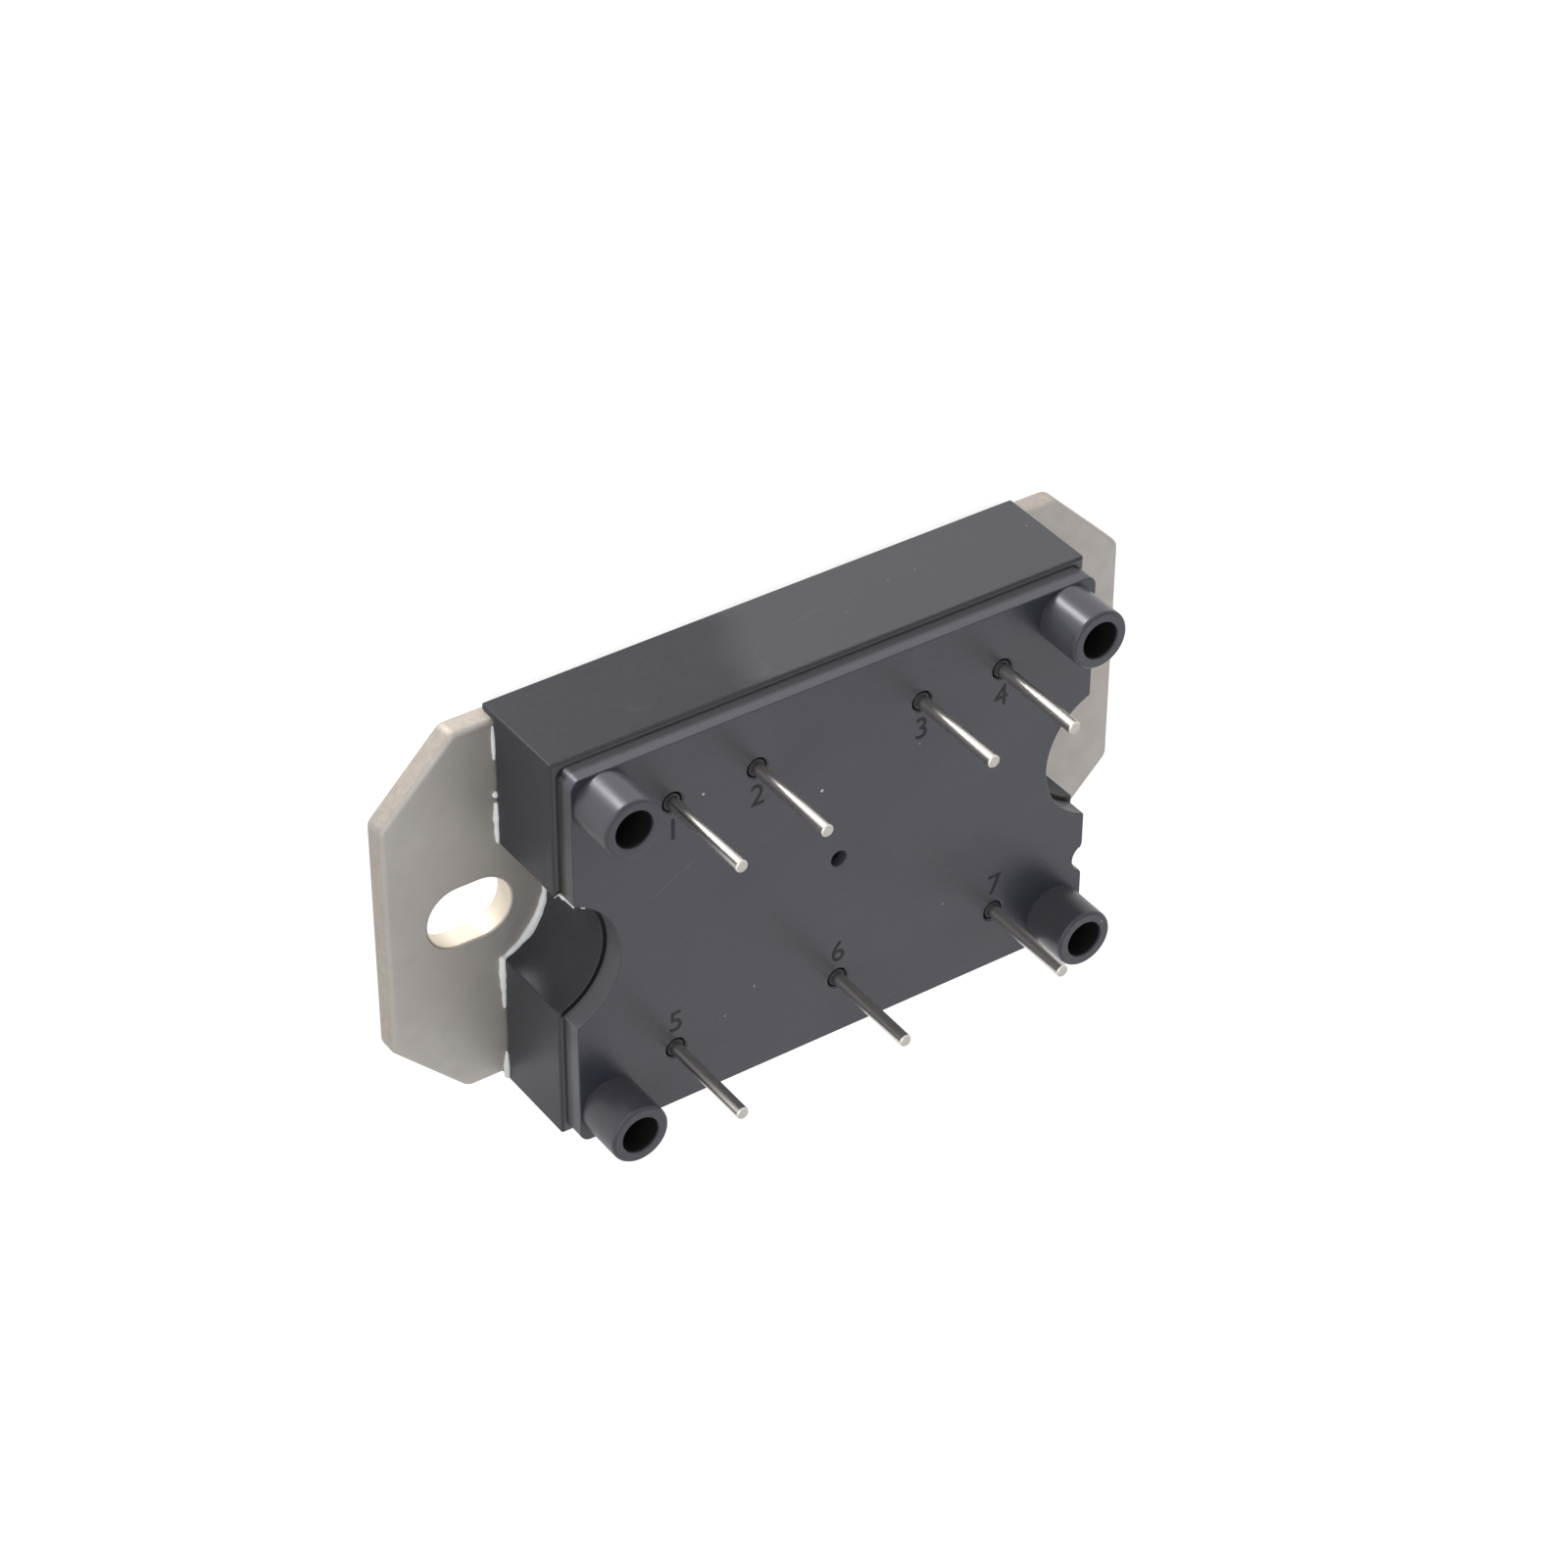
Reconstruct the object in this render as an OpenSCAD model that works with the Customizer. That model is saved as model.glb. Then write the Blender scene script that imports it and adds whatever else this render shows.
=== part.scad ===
// Three-phase bridge rectifier module: a moulded housing with solder pins on a screw-down base plate.
// The base plate lies flat on z = 0. X runs along its length and the pins point up, along +Z.

/* [Base plate] */
// Length of the plate, end to end
plate_l = 63.5; // [60:0.5:68]
// Width of the plate
plate_w = 31.6; // [30:0.2:34]
// Thickness of the plate
plate_t = 2; // [1.6:0.1:3]
// Size of the four corners cut off at 45 degrees
corner_cut = 6; // [4:0.5:7]
// Rounding of the plate's upright edges
corner_r = 1; // [0.4:0.1:1.5]
// Distance between the centres of the two screw slots
slot_spacing = 50; // [49.6:0.1:51]
// Width of a screw slot
slot_w = 5; // [4.6:0.1:5.4]
// Length of a screw slot, end to end
slot_l = 6.8; // [6:0.1:7.2]

/* [Housing frame] */
// Length of the frame
frame_l = 45; // [44:0.2:46]
// How far each long side of the frame reaches past the plate
frame_side = 0.6; // [0.4:0.05:1]
// Height of the frame's rim above the plate's underside
frame_top = 9.5; // [9:0.1:12]
// Thickness of the frame's walls
wall = 2; // [1.6:0.1:2.2]
// How far the skirts reach down over the plate's long edges
skirt_drop = 1.4; // [0.6:0.1:1.5]
// Gap between a skirt and the plate's edge
skirt_gap = 0.05; // [0.02:0.01:0.15]
// Radius of the screw-head notch in each end
notch_r = 5.5; // [5:0.1:5.8]
// How far the notch's centre lies inside the slot's centre
notch_shift = 0.7; // [0:0.1:1]
// Thickness of the wall that bends round the notch
notch_wall = 1.6; // [1.2:0.1:1.8]

/* [Lid] */
// Thickness of the lid above the frame's rim
lid_t = 1.9; // [1.5:0.1:2.5]
// Width of the ledge of rim left bare all round the lid
ledge = 0.35; // [0.2:0.05:0.5]
// Rounding of the lid's four corners
lid_corner_r = 0.9; // [0.5:0.1:2]
// Depth of the locating lip under the lid
lip_h = 1.2; // [0.8:0.1:1.3]
// Thickness of the locating lip
lip_t = 1; // [0.8:0.1:1.2]
// Gap between the lip and the frame's walls
lip_gap = 0.1; // [0.05:0.01:0.2]
// Radius of the keying nick in the lid's +X end
nick_r = 1.25; // [0.8:0.05:1.5]
// Depth of the keying nick
nick_depth = 0.85; // [0.4:0.05:1]
// Distance of the keying nick from the lid's long centre line
nick_offset = 9.6; // [8.5:0.1:10]
// Diameter of the vent hole in the middle of the lid
vent_d = 1.3; // [1:0.1:2]

/* [Standoff posts] */
// Distance of the posts' centres from the frame's ends
post_inset_x = 2.9; // [2.7:0.1:3.2]
// Distance of the posts' centres from the frame's long sides
post_inset_y = 2.8; // [2.7:0.1:3.1]
// Outer diameter of a post
post_d = 4.7; // [4.4:0.1:4.9]
// Diameter of the screw bore in a post
post_bore_d = 3; // [2.6:0.1:3.2]
// Height of the posts above the lid
post_h = 4; // [3:0.1:6]
// Depth of the screw bore, from the post's top
post_bore_depth = 5; // [3:0.1:5.2]

/* [Pins] */
// Diameter of a pin above the lid
pin_d = 1; // [0.8:0.05:1.1]
// Diameter of a pin's shank inside the housing
shank_d = 1.4; // [1.35:0.05:1.6]
// Grid on which the pins stand along the module
pin_pitch = 7; // [6.8:0.05:7.1]
// Distance of each row of pins from the ceramic's long edge
pin_inset = 3; // [2.8:0.1:3.2]
// Height of the pins' tips above the plate's underside
pin_top = 20; // [18:0.1:26]
// Size of the bevel on a pin's tip
pin_bevel = 0.12; // [0.05:0.01:0.3]
// Diameter of a pin's soldered foot
foot_d = 2.4; // [1.8:0.1:2.6]
// Thickness of a pin's soldered foot
foot_t = 0.4; // [0.3:0.05:0.8]
// Gap round a pin's shank in its hole in the lid
pin_hole_gap = 0.1; // [0.06:0.01:0.2]
// Width of the bevel round a pin's hole
pin_sink = 0.1; // [0.05:0.01:0.3]

/* [Seal] */
// Thickness of the adhesive film under the frame
film_t = 0.2; // [0.1:0.05:0.25]
// Radius of the bead squeezed out at the housing's ends
bead_r = 0.5; // [0.3:0.05:0.7]

/* [Circuit] */
// Thickness of the solder under the substrate
solder_t = 0.1; // [0.05:0.01:0.2]
// Thickness of the copper on either side of the ceramic
copper_t = 0.3; // [0.2:0.05:0.4]
// Thickness of the ceramic
ceramic_t = 0.6; // [0.38:0.01:0.8]
// Gap between the ceramic and the frame's walls
ceramic_gap = 0.4; // [0.2:0.05:0.5]
// Bare ceramic left round the copper
copper_margin = 0.8; // [0.6:0.05:0.9]
// Gap between neighbouring tracks
track_gap = 0.8; // [0.6:0.05:0.9]
// Width of the minus track where it passes the clips
minus_bus_w = 2.6; // [2.4:0.1:2.8]
// Width of the minus track's upright at the +X end
minus_upright_w = 2.4; // [2:0.1:2.6]
// Side of a square diode chip
chip_s = 4; // [3:0.1:4.2]
// Thickness of a diode chip
chip_t = 0.4; // [0.2:0.05:0.6]
// Copper left round a chip or a pin's foot
pad_margin = 0.4; // [0.2:0.05:0.5]
// Width of a clip
clip_w = 2.4; // [1.6:0.1:2.8]
// Thickness of a clip's copper
clip_t = 0.3; // [0.2:0.05:0.4]
// Length of a clip's foot on a track
clip_foot = 1.7; // [1.2:0.1:1.8]
// Height of a clip's arch above the tracks
clip_arch = 1.3; // [1.1:0.1:1.8]
// Distance between the two chips of a phase, along the module
chip_stagger = 5; // [4.6:0.1:5.1]
// Height of the soft fill above the plate
gel_h = 6; // [4:0.1:6]

/* [Hidden] */
$fn = 96;
eps = 0.01;
PHASES = [0, 1, 2];
ENDS = [-1, 1];

// Heights above the plate's underside
frame_foot = plate_t + film_t;
lid_top = frame_top + lid_t;
post_top = lid_top + post_h;
copper_z = plate_t + solder_t;
ceramic_z = copper_z + copper_t;
track_z = ceramic_z + ceramic_t;
track_top = track_z + copper_t;
chip_top = track_top + chip_t;

// Plan of the housing
frame_w = plate_w + 2 * frame_side;
notch_x = slot_spacing / 2 - notch_shift;
cavity_l = frame_l - 2 * wall;
cavity_w = frame_w - 2 * wall;
lid_l = frame_l - 2 * ledge;
lid_w = frame_w - 2 * ledge;
post_spacing_x = frame_l - 2 * post_inset_x;
post_spacing_y = frame_w - 2 * post_inset_y;
pin_hole_d = shank_d + 2 * pin_hole_gap;

// Plan of the circuit
ceramic_l = 2 * (notch_x - notch_r - notch_wall - ceramic_gap);
ceramic_w = cavity_w - 2 * ceramic_gap;
track_x = ceramic_l / 2 - copper_margin;
track_y = ceramic_w / 2 - copper_margin;
island_w = (2 * track_x - 2 * track_gap) / 3;
phase_pitch = island_w + track_gap;
foot_reach = foot_d / 2 + pad_margin;
pin_y = ceramic_w / 2 - pin_inset;
PLUS_PINS = [[-2 * pin_pitch, pin_y], [-pin_pitch, pin_y]];
MINUS_PINS = [[pin_pitch, pin_y], [2 * pin_pitch, pin_y]];
AC_PINS = [for (phase = PHASES) [2 * (phase - 1) * pin_pitch, -pin_y]];

// Edges of the tracks across the module, from the pins' row downwards
pad_edge = pin_y - foot_reach;
plus_bus_top = pad_edge - track_gap;
plus_bus_edge = plus_bus_top - chip_s - 2 * pad_margin;
minus_bus_top = plus_bus_edge - track_gap;
minus_bus_edge = minus_bus_top - minus_bus_w;
island_top = minus_bus_edge - track_gap;
plus_chip_y = (plus_bus_top + plus_bus_edge) / 2;
minus_chip_y = island_top - pad_margin - chip_s / 2;
minus_upright_x = track_x - minus_upright_w;

// ---- Shapes that repeat ----

// Places its children at all four corners of a rectangle
module at_corners(spacing_x, spacing_y) {
    for (x = ENDS, y = ENDS)
        translate([x * spacing_x / 2, y * spacing_y / 2])
            children();
}

// Rectangle centred on the origin, with round corners
module round_rectangle(length, width, r) {
    square([length, width - 2 * r], center = true);
    square([length - 2 * r, width], center = true);
    at_corners(length - 2 * r, width - 2 * r)
        circle(r);
}

// The two discs that a notch of radius r takes out of the housing's ends
module notch_discs(r) {
    for (x = ENDS)
        translate([x * notch_x, 0])
            circle(r);
}

// The housing's outline, set in by inset on every side
module housing_outline(inset) {
    difference() {
        square([frame_l - 2 * inset, frame_w - 2 * inset], center = true);
        notch_discs(notch_r + inset);
    }
}

// The hollow inside the frame's walls, made smaller by inset on every side
module cavity_outline(inset) {
    difference() {
        square([cavity_l - 2 * inset, cavity_w - 2 * inset], center = true);
        notch_discs(notch_r + notch_wall + inset);
    }
}

// Slab between two heights with the children as its plan
module slab(bottom, top) {
    translate([0, 0, bottom])
        linear_extrude(top - bottom)
            children();
}

// Rectangle given by its two opposite corners
module patch(x1, y1, x2, y2) {
    translate([x1, y1])
        square([x2 - x1, y2 - y1]);
}

// ---- Base plate ----

// A rectangle with its corners cut off at 45 degrees, all eight corners rounded
module plate_outline() {
    reach = corner_r * tan(22.5);
    end_x = plate_l / 2;
    side_y = plate_w / 2;
    cut_x = end_x - corner_cut;
    cut_y = side_y - corner_cut;
    slant = reach / sqrt(2);
    // The straight stretches, joined across the eight rounded corners
    polygon([
        for (quadrant = [[1, 1], [-1, 1], [-1, -1], [1, -1]])
            let (
                run = [
                    [end_x, cut_y - reach],
                    [end_x - slant, cut_y + slant],
                    [cut_x + slant, side_y - slant],
                    [cut_x - reach, side_y]
                ],
                order = quadrant[0] * quadrant[1] > 0 ? [0, 1, 2, 3] : [3, 2, 1, 0]
            )
            for (i = order)
                [quadrant[0] * run[i][0], quadrant[1] * run[i][1]]
    ]);
    // The rounded corners
    at_corners(plate_l - 2 * corner_r, 2 * (cut_y - reach))
        circle(corner_r);
    at_corners(2 * (cut_x - reach), plate_w - 2 * corner_r)
        circle(corner_r);
}

// One oblong screw slot, centred on the origin
module screw_slot() {
    straight = slot_l - slot_w;
    square([straight, slot_w], center = true);
    for (x = ENDS)
        translate([x * straight / 2, 0])
            circle(d = slot_w);
}

module base_plate() {
    color([0.74, 0.72, 0.67])
        slab(0, plate_t)
            difference() {
                plate_outline();
                for (x = ENDS)
                    translate([x * slot_spacing / 2, 0])
                        screw_slot();
            }
}

// ---- Housing ----

module housing_frame() {
    skirt_inner = plate_w / 2 + skirt_gap;
    color([0.16, 0.16, 0.17]) {
        slab(frame_foot, frame_top)
            difference() {
                housing_outline(0);
                cavity_outline(0);
            }
        for (side = ENDS)
            slab(plate_t - skirt_drop, frame_foot + eps)
                translate([0, side * (skirt_inner + frame_w / 2) / 2])
                    square([frame_l, frame_w / 2 - skirt_inner], center = true);
    }
}

// The lid's outline: round corners, screw-head notches and the keying nick
module lid_outline() {
    difference() {
        round_rectangle(lid_l, lid_w, lid_corner_r);
        notch_discs(notch_r + ledge);
        translate([lid_l / 2 + nick_r - nick_depth, -nick_offset])
            circle(nick_r);
    }
}

// A pin's clearance hole and its bevel, down from the lid's face
module pin_hole() {
    slab(frame_top - eps, lid_top + eps)
        circle(d = pin_hole_d);
    translate([0, 0, lid_top - pin_sink])
        cylinder(h = pin_sink + eps, d1 = pin_hole_d, d2 = pin_hole_d + 2 * (pin_sink + eps));
}

module lid() {
    color([0.18, 0.18, 0.2])
        difference() {
            union() {
                slab(frame_top, lid_top)
                    lid_outline();
                slab(frame_top - lip_h, frame_top + eps)
                    difference() {
                        cavity_outline(lip_gap);
                        cavity_outline(lip_gap + lip_t);
                    }
                slab(frame_top + eps, post_top)
                    at_corners(post_spacing_x, post_spacing_y)
                        circle(d = post_d);
            }
            slab(post_top - post_bore_depth, post_top + eps)
                at_corners(post_spacing_x, post_spacing_y)
                    circle(d = post_bore_d);
            slab(frame_top - eps, lid_top + eps)
                circle(d = vent_d);
            for (place = [for (p = PLUS_PINS) p, for (p = MINUS_PINS) p, for (p = AC_PINS) p])
                translate(place)
                    pin_hole();
        }
}

// A block along one end of the housing's foot, its outer face sloped back to the wall
module end_block() {
    end_x = frame_l / 2;
    translate([0, plate_w / 2, plate_t])
        rotate([90, 0, 0])
            linear_extrude(plate_w)
                polygon([[0, 0], [end_x + bead_r, 0], [end_x, bead_r], [0, bead_r]]);
}

// The thin film under the frame and the beads it leaves along both ends and round the notches
module silicone_seal() {
    color([0.86, 0.86, 0.84])
        difference() {
            union() {
                end_block();
                mirror([1, 0, 0])
                    end_block();
            }
            slab(plate_t - eps, plate_t + bead_r + eps)
                cavity_outline(0);
            slab(frame_foot, plate_t + bead_r + eps)
                housing_outline(0);
            for (x = ENDS)
                translate([x * notch_x, 0, plate_t - eps])
                    cylinder(h = bead_r + 2 * eps, r1 = notch_r - bead_r - eps, r2 = notch_r + eps);
        }
}

// ---- Circuit ----

module solder_layer() {
    color([0.72, 0.73, 0.75])
        slab(plate_t, copper_z)
            square([2 * track_x, 2 * track_y], center = true);
}

module substrate_copper() {
    color([0.8, 0.5, 0.35])
        slab(copper_z, ceramic_z)
            square([2 * track_x, 2 * track_y], center = true);
}

module ceramic_substrate() {
    color([0.93, 0.92, 0.88])
        slab(ceramic_z, track_z)
            square([ceramic_l, ceramic_w], center = true);
}

// One copper track on the ceramic, with the children as its plan
module track() {
    color([0.8, 0.5, 0.35])
        slab(track_z, track_top)
            children();
}

module track_plus() {
    track() {
        patch(-track_x, pad_edge, foot_reach - pin_pitch, track_y);
        patch(-track_x, plus_bus_edge, foot_reach - pin_pitch, pad_edge + eps);
        patch(-track_x, plus_bus_edge, minus_upright_x - track_gap, plus_bus_top);
    }
}

module track_minus() {
    track() {
        patch(pin_pitch - foot_reach, pad_edge, track_x, track_y);
        patch(minus_upright_x, minus_bus_edge, track_x, track_y);
        patch(-track_x, minus_bus_edge, track_x, minus_bus_top);
    }
}

// The three alternating-current tracks, counted from the -X end
module track_ac(phase) {
    start = phase * phase_pitch - track_x;
    track()
        patch(start, -track_y, start + island_w, island_top);
}

// Middle of a phase's track along the module
function phase_x(phase) = (phase - 1) * phase_pitch;
function plus_x(phase) = phase_x(phase) - chip_stagger / 2;
function minus_x(phase) = phase_x(phase) + chip_stagger / 2;

module diode(place) {
    color([0.35, 0.36, 0.4])
        slab(track_top, chip_top)
            translate(place)
                square(chip_s, center = true);
}

module diode_plus(phase) {
    diode([plus_x(phase), plus_chip_y]);
}

module diode_minus(phase) {
    diode([minus_x(phase), minus_chip_y]);
}

// A bent copper strip: flat foot from a0 to a1 at height za, arch, flat foot from b0 to b1 at zb
module clip(x, a0, a1, za, b0, b1, zb) {
    arch = track_top + clip_arch;
    color([0.8, 0.5, 0.35])
        translate([x - clip_w / 2, 0, 0])
            rotate([90, 0, 90])
                linear_extrude(clip_w)
                    polygon([
                        [a0, za], [a1, za], [a1, arch], [b0, arch], [b0, zb], [b1, zb],
                        [b1, zb + clip_t], [b0 + clip_t, zb + clip_t], [b0 + clip_t, arch + clip_t],
                        [a1 - clip_t, arch + clip_t], [a1 - clip_t, za + clip_t], [a0, za + clip_t]
                    ]);
}

// From the top of the plus diode down to the phase's own track
module clip_plus(phase) {
    foot_start = island_top - pad_margin - clip_foot;
    chip_start = plus_chip_y - chip_s / 2 + pad_margin;
    chip_end = plus_chip_y + chip_s / 2 - pad_margin;
    clip(plus_x(phase), foot_start, foot_start + clip_foot, track_top, chip_start, chip_end, chip_top);
}

// From the top of the minus diode up to the minus track
module clip_minus(phase) {
    chip_start = minus_chip_y - chip_s / 2 + pad_margin;
    chip_end = minus_chip_y + chip_s / 2 - pad_margin;
    foot_end = minus_bus_top - (minus_bus_w - clip_foot) / 2;
    clip(minus_x(phase), chip_start, chip_end, chip_top, foot_end - clip_foot, foot_end, track_top);
}

// ---- Pins ----

// A soldered foot, a thicker shank up to the lid's face and the bare pin above it
module pin(place) {
    color([0.85, 0.84, 0.8])
        translate(place) {
            slab(track_top, track_top + foot_t)
                circle(d = foot_d);
            slab(track_top, lid_top)
                circle(d = shank_d);
            slab(lid_top, pin_top - pin_bevel)
                circle(d = pin_d);
            translate([0, 0, pin_top - pin_bevel])
                cylinder(h = pin_bevel, d1 = pin_d, d2 = pin_d - 2 * pin_bevel);
        }
}

// ---- Soft fill ----

// The soft fill fills the frame up to its own level and closes round everything in the circuit
module gel_fill() {
    color([0.8, 0.85, 0.9, 0.5])
        difference() {
            slab(plate_t, plate_t + gel_h)
                cavity_outline(0);
            solder_layer();
            substrate_copper();
            ceramic_substrate();
            track_plus();
            track_minus();
            for (phase = PHASES) {
                track_ac(phase);
                diode_plus(phase);
                diode_minus(phase);
                clip_plus(phase);
                clip_minus(phase);
                pin(AC_PINS[phase]);
            }
            for (i = [0, 1]) {
                pin(PLUS_PINS[i]);
                pin(MINUS_PINS[i]);
            }
        }
}

base_plate();
housing_frame();
lid();
silicone_seal();
solder_layer();
substrate_copper();
ceramic_substrate();
track_plus();
track_minus();
track_ac(0);  // track_ac_1
track_ac(1);  // track_ac_2
track_ac(2);  // track_ac_3
diode_plus(0);  // diode_plus_1
diode_plus(1);  // diode_plus_2
diode_plus(2);  // diode_plus_3
diode_minus(0);  // diode_minus_1
diode_minus(1);  // diode_minus_2
diode_minus(2);  // diode_minus_3
clip_plus(0);  // clip_plus_1
clip_plus(1);  // clip_plus_2
clip_plus(2);  // clip_plus_3
clip_minus(0);  // clip_minus_1
clip_minus(1);  // clip_minus_2
clip_minus(2);  // clip_minus_3
pin(PLUS_PINS[0]);  // pin_plus_1
pin(PLUS_PINS[1]);  // pin_plus_2
pin(MINUS_PINS[0]);  // pin_minus_1
pin(MINUS_PINS[1]);  // pin_minus_2
pin(AC_PINS[0]);  // pin_ac_1
pin(AC_PINS[1]);  // pin_ac_2
pin(AC_PINS[2]);  // pin_ac_3
gel_fill();
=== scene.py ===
"""Dresses a three-phase bridge rectifier module: its plate, frame, lid, pins, seal and the circuit inside."""

import logging
import math
import random
from dataclasses import dataclass
from enum import Enum
from typing import Any, Callable, Iterable, Optional

import bmesh
import bpy
from mathutils import Matrix, Vector, noise


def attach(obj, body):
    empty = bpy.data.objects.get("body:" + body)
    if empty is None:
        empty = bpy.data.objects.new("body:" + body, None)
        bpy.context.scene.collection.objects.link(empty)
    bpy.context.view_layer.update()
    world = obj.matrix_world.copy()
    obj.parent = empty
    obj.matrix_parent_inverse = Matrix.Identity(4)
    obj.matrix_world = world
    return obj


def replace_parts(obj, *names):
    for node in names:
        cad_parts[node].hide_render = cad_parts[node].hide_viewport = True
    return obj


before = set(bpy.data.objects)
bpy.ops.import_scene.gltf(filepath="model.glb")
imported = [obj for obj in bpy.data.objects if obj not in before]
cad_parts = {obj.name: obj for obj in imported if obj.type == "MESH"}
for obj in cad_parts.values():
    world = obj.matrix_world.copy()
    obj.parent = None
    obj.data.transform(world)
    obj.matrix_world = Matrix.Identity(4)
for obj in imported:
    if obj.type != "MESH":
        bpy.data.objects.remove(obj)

Socket = bpy.types.NodeSocket
Colour = tuple[float, float, float]
Point = tuple[float, float, float]

LOG = logging.getLogger("rectifier")
MM = 0.001
ROOT = "root"

# Sizes that several pieces share, in millimetres.
HALF_L = 22.5  # half the frame's length
HALF_W = 16.4  # half the frame's width
NOTCH_X = 24.3  # from the module's middle to a notch's axis
NOTCH_R = 5.5
LEDGE_REACH = 5.95  # how far the ledge reaches from a notch's axis
POST_X, POST_Y = 19.6, 13.6  # where a post stands, from the module's middle
POST_TOP = 15.4
BORE_R = 1.5  # radius of the posts' bores
PLATE_TOP = 2.0
LID_TOP = 11.4

# How meshes are cleaned and shaded.
MERGE = 0.002 * MM
TINY = 0.001 * MM
FLAT = math.radians(0.6)
SMOOTH = math.radians(34)


class Face(Enum):
    """Which way a mask looks for its surface."""

    UP = (0.0, 0.0, 1.0)
    LONG_SIDE = (0.0, 1.0, 0.0)


class Edge(Enum):
    """How far an edge is rounded, in millimetres."""

    SHEARED = 0.45
    PUNCHED = 0.2
    RUNOUT = 0.35
    RIM = 0.28
    CORNER = 0.15
    MOULDED = 0.1


Rounder = tuple[tuple[Edge, Callable[[Vector, Vector], bool]], ...]


@dataclass(frozen=True)
class Terminal:
    """One of the seven pins.

    Args:
        mark: its number on the lid.
        node: its CAD node.
        place: where it stands, in millimetres.
    """

    mark: str
    node: str
    place: tuple[float, float]


TERMINALS = (
    Terminal("1", "pin_plus_1", (-14.0, 11.0)),
    Terminal("2", "pin_plus_2", (-7.0, 11.0)),
    Terminal("3", "pin_minus_1", (7.0, 11.0)),
    Terminal("4", "pin_minus_2", (14.0, 11.0)),
    Terminal("5", "pin_ac_1", (-14.0, -11.0)),
    Terminal("6", "pin_ac_2", (0.0, -11.0)),
    Terminal("7", "pin_ac_3", (14.0, -11.0)),
)


# ---- Node trees ----


class Graph:
    """A material's or a group's node tree, filled one node at a time."""

    def __init__(self, tree: bpy.types.NodeTree) -> None:
        """Starts on an empty tree."""
        self.tree = tree
        tree.nodes.clear()

    def add(self, kind: str, inputs: Optional[dict[Any, Any]] = None, **settings: Any) -> bpy.types.Node:
        """Adds one node.

        Args:
            kind: the node's type, without its ShaderNode start.
            inputs: values or sockets by input name or place.
            settings: the node's own properties.

        Returns:
            The new node.
        """
        name = kind if kind.startswith("Node") else "ShaderNode" + kind
        made = self.tree.nodes.new(name)
        for key, value in settings.items():
            setattr(made, key, value)
        for key, value in (inputs or {}).items():
            if isinstance(value, Socket):
                self.tree.links.new(value, made.inputs[key])
            else:
                made.inputs[key].default_value = value
        return made

    def place(self) -> Socket:
        """Returns the point on the object, in metres."""
        return self.add("TexCoord").outputs["Object"]

    def moved(self, scale: Point, turn: float = 0.0) -> Socket:
        """Returns the point on the object, turned about the upright axis and scaled."""
        sizes = {"Vector": self.place(), "Scale": scale, "Rotation": (0, 0, turn)}
        return self.add("Mapping", sizes).outputs[0]

    def axes(self) -> list[Socket]:
        """Returns the point's three coordinates, in metres."""
        return list(self.add("SeparateXYZ", {0: self.place()}).outputs)

    def math(self, operation: str, a: Any, b: Any = 0.0, c: Any = 0.0, clamp: bool = False) -> Socket:
        """Returns the result of one sum."""
        return self.add("Math", {0: a, 1: b, 2: c}, operation=operation, use_clamp=clamp).outputs[0]

    def times(self, a: Any, b: Any) -> Socket:
        """Returns a times b."""
        return self.math("MULTIPLY", a, b)

    def ramp(self, value: Socket, low: float, high: float, to_low: float = 0.0, to_high: float = 1.0) -> Socket:
        """Returns value mapped smoothly from low..high to to_low..to_high."""
        sizes = {"Value": value, "From Min": low, "From Max": high, "To Min": to_low, "To Max": to_high}
        return self.add("MapRange", sizes, interpolation_type="SMOOTHSTEP").outputs[0]

    def fade(self, value: Socket, low: float, high: float) -> Socket:
        """Returns 1 where value is under low, 0 where it is over high."""
        return self.ramp(value, low, high, 1.0, 0.0)

    def blend(self, mask: Socket, a: Any, b: Any) -> Socket:
        """Returns colour a where mask is 0 and colour b where it is 1."""
        shades = {0: mask, 6: _rgba(a), 7: _rgba(b)}
        return self.add("Mix", shades, data_type="RGBA").outputs[2]

    def noise(self, scale: Any, detail: float = 3.0, at: Optional[Socket] = None, **more: float) -> Socket:
        """Returns a noise value of about scale swings a metre."""
        sizes = {"Vector": at or self.place(), "Scale": scale, "Detail": detail, **more}
        return self.add("TexNoise", sizes).outputs["Fac"]

    def dot(self, a: Any, b: Any) -> Socket:
        """Returns the scalar product of two vectors."""
        return self.add("VectorMath", {0: a, 1: b}, operation="DOT_PRODUCT").outputs["Value"]

    def distance(self, a: Any, b: Any) -> Socket:
        """Returns how far two points are apart."""
        return self.add("VectorMath", {0: a, 1: b}, operation="DISTANCE").outputs["Value"]

    def from_axis(self, x: float, y: float) -> Socket:
        """Measures how far the point is from the nearest of the upright axes at x and y or their mirrors.

        Args:
            x: the axes' distance from the middle along the module, in millimetres.
            y: their distance from the middle across it.

        Returns:
            The distance, in metres.
        """
        along, across, _ = self.axes()
        past_x = self.math("SUBTRACT", self.math("ABSOLUTE", along), x * MM)
        past_y = self.math("SUBTRACT", self.math("ABSOLUTE", across), y * MM)
        return self.math("SQRT", self.math("MULTIPLY_ADD", past_x, past_x, self.times(past_y, past_y)))

    def clear_of_notch(self, blur: float) -> Socket:
        """Returns 0 near a notch, where the ledge reaches, and 1 beyond it by blur, in millimetres."""
        return self.ramp(self.from_axis(NOTCH_X, 0.0), LEDGE_REACH * MM, (LEDGE_REACH + blur) * MM)

    def facing(self, face: Face) -> Socket:
        """Returns how far the surface faces one way, from -1 to 1."""
        return self.dot(self.add("TexCoord").outputs["Normal"], face.value)


def _rgba(colour: Any) -> Any:
    """Returns a colour with its fourth number, or the socket as it is."""
    return colour if isinstance(colour, Socket) else (*colour, 1.0)


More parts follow.
